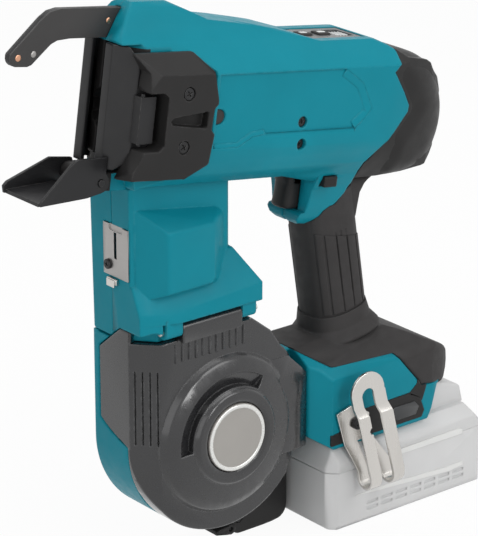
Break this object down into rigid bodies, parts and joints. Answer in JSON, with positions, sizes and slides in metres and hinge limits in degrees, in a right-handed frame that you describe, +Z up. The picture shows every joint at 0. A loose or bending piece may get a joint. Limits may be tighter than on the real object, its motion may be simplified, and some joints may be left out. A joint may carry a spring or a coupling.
{
  "type": "rebar tying tool",
  "caption": "Cordless rebar tying tool: hooked curl guides on a tilted barrel, twist drive, side wire reel under a hinged cover, pistol grip and slide-on battery.",
  "frame": {"origin": "on the battery's flat underside, on the mid-plane of the tool, below the middle of the base", "axes": "+X to the rear, -Y to the operator's left, +Z up; the nose is at -X"},
  "size_m": [0.3287, 0.0963, 0.3517],
  "materials": {
    "teal_plastic": "fine moulded texture",
    "dark_plastic": "fine moulded texture",
    "smoked_plastic": "smoked, part gloss",
    "elastomer": "matt overmould",
    "black_steel": "black oxide",
    "grey_steel": "phosphated",
    "steel": "zinc plated",
    "bronze": "bare",
    "gear_steel": "ground",
    "laminations": "stacked sheet",
    "badge": "blank printed disc",
    "panel": "semi gloss",
    "board": "lacquered",
    "wire": "annealed wire",
    "pack_plastic": "pale grey",
    "cells": "sleeved"
  },
  "bodies": {
    "housing": {"left_housing": "teal_plastic", "right_housing": "teal_plastic", "housing_screws": "black_steel", "rear_cover": "dark_plastic", "side_cover_left": "dark_plastic", "side_cover_right": "dark_plastic", "upper_guide_core": "black_steel", "upper_guide_cheeks": "grey_steel", "upper_guide_rivets": "bronze", "lower_guide_pin": "black_steel", "motor_stator": "laminations", "motor_end_bells": "grey_steel", "ring_gear": "gear_steel", "wire_guide_plate": "steel", "fitting_screws": "black_steel", "sight_window": "steel", "feed_motor": "laminations", "feed_bracket": "grey_steel", "reel_case": "teal_plastic", "reel_spindle": "dark_plastic", "hinge_pin": "steel", "case_foot": "dark_plastic", "grip": "elastomer", "base_left": "teal_plastic", "base_right": "teal_plastic", "base_top": "elastomer", "base_bands": "dark_plastic", "main_switch": "dark_plastic", "control_panel": "panel", "control_board": "board", "terminal_block": "dark_plastic", "belt_hook": "steel"},
    "contact": {"contact_plate_left": "black_steel", "contact_plate_right": "black_steel", "contact_arms": "black_steel"},
    "lower_curl_guide": {"lower_guide": "black_steel"},
    "rotor": {"motor_rotor": "laminations", "cooling_fan": "dark_plastic", "sun_gear": "gear_steel"},
    "carrier": {"planet_carrier": "gear_steel", "twister_head": "gear_steel"},
    "planet_a": {"planet_gear_1": "gear_steel"},
    "planet_b": {"planet_gear_2": "gear_steel"},
    "planet_c": {"planet_gear_3": "gear_steel"},
    "feed_drive": {"feed_drive_gear": "gear_steel"},
    "feed_idler": {"feed_idler_gear": "gear_steel"},
    "reel": {"wire_spool": "dark_plastic", "wire_core": "wire", "wire_layer": "wire"},
    "cover": {"reel_cover": "smoked_plastic", "cover_badge": "badge"},
    "latch": {"cover_latch": "dark_plastic"},
    "trigger_blade": {"trigger": "dark_plastic"},
    "lock": {"trigger_lock": "dark_plastic"},
    "power_key": {"power_button": "elastomer"},
    "mode_key": {"mode_button": "elastomer"},
    "battery": {"battery_case": "pack_plastic", "battery_lid": "pack_plastic", "battery_cells": "cells"},
    "release": {"battery_button": "dark_plastic"}
  },
  "joints": [
    {"name": "contact_slide", "type": "slide", "parent": "housing", "child": "contact", "axis": [0.9897, 0, -0.1435], "range_m": [0, 0.0035], "stiffness_N_per_m": 1500, "springref_m": -0.002},
    {"name": "lower_guide_hinge", "type": "hinge", "parent": "housing", "child": "lower_curl_guide", "pos_m": [-0.21194, 0, 0.25261], "axis": [0, -1, 0], "range_deg": [0, 35], "stiffness_Nm_per_rad": 0.6, "springref_deg": -17.19},
    {"name": "rotor_spin", "type": "hinge", "parent": "housing", "child": "rotor", "pos_m": [-0.02686, 0, 0.26417], "axis": [0.9897, 0, -0.1435], "continuous": true},
    {"name": "carrier_spin", "type": "hinge", "parent": "housing", "child": "carrier", "pos_m": [-0.10604, 0, 0.27565], "axis": [0.9897, 0, -0.1435], "continuous": true},
    {"name": "planet_a_spin", "type": "hinge", "parent": "carrier", "child": "planet_a", "pos_m": [-0.08994, 0, 0.26119], "axis": [0.9897, 0, -0.1435], "continuous": true},
    {"name": "planet_b_spin", "type": "hinge", "parent": "carrier", "child": "planet_b", "pos_m": [-0.08736, 0.01039, 0.27901], "axis": [0.9897, 0, -0.1435], "continuous": true},
    {"name": "planet_c_spin", "type": "hinge", "parent": "carrier", "child": "planet_c", "pos_m": [-0.08736, -0.01039, 0.27901], "axis": [0.9897, 0, -0.1435], "continuous": true},
    {"name": "feed_drive_spin", "type": "hinge", "parent": "housing", "child": "feed_drive", "pos_m": [-0.164, -0.007, 0.203], "axis": [0, 1, 0], "continuous": true},
    {"name": "feed_idler_spin", "type": "hinge", "parent": "housing", "child": "feed_idler", "pos_m": [-0.1784, -0.007, 0.203], "axis": [0, 1, 0], "continuous": true},
    {"name": "reel_spin", "type": "hinge", "parent": "housing", "child": "reel", "pos_m": [-0.132, -0.005, 0.084], "axis": [0, 1, 0], "continuous": true},
    {"name": "cover_hinge", "type": "hinge", "parent": "housing", "child": "cover", "pos_m": [-0.145, -0.028, 0.158], "axis": [-1, 0, 0], "range_deg": [0, 95]},
    {"name": "latch_hinge", "type": "hinge", "parent": "housing", "child": "latch", "pos_m": [-0.122, -0.008, 0.0145], "axis": [0, -1, 0], "range_deg": [0, 40], "stiffness_Nm_per_rad": 0.05, "springref_deg": -22.92},
    {"name": "trigger_slide", "type": "slide", "parent": "housing", "child": "trigger_blade", "axis": [0.9897, 0, -0.1435], "range_m": [0, 0.006], "stiffness_N_per_m": 700, "springref_m": -0.003},
    {"name": "lock_slide", "type": "slide", "parent": "housing", "child": "lock", "axis": [0, 1, 0], "range_m": [0, 0.003]},
    {"name": "power_press", "type": "slide", "parent": "housing", "child": "power_key", "axis": [-0.1435, 0, -0.9897], "range_m": [0, 0.0006], "stiffness_N_per_m": 1200, "springref_m": -0.0004},
    {"name": "mode_press", "type": "slide", "parent": "housing", "child": "mode_key", "axis": [-0.1435, 0, -0.9897], "range_m": [0, 0.0006], "stiffness_N_per_m": 1200, "springref_m": -0.0004},
    {"name": "battery_slide", "type": "slide", "parent": "housing", "child": "battery", "axis": [1, 0, 0], "range_m": [0, 0.1]},
    {"name": "release_press", "type": "slide", "parent": "battery", "child": "release", "axis": [0, 0, -1], "range_m": [0, 0.0025], "stiffness_N_per_m": 900, "springref_m": -0.001}
  ],
  "couplings": [
    {"joint": "carrier_spin", "follows": "rotor_spin", "ratio": 0.2},
    {"joint": "planet_a_spin", "follows": "rotor_spin", "ratio": -0.53333},
    {"joint": "planet_b_spin", "follows": "rotor_spin", "ratio": -0.53333},
    {"joint": "planet_c_spin", "follows": "rotor_spin", "ratio": -0.53333},
    {"joint": "feed_idler_spin", "follows": "feed_drive_spin", "ratio": -1}
  ]
}
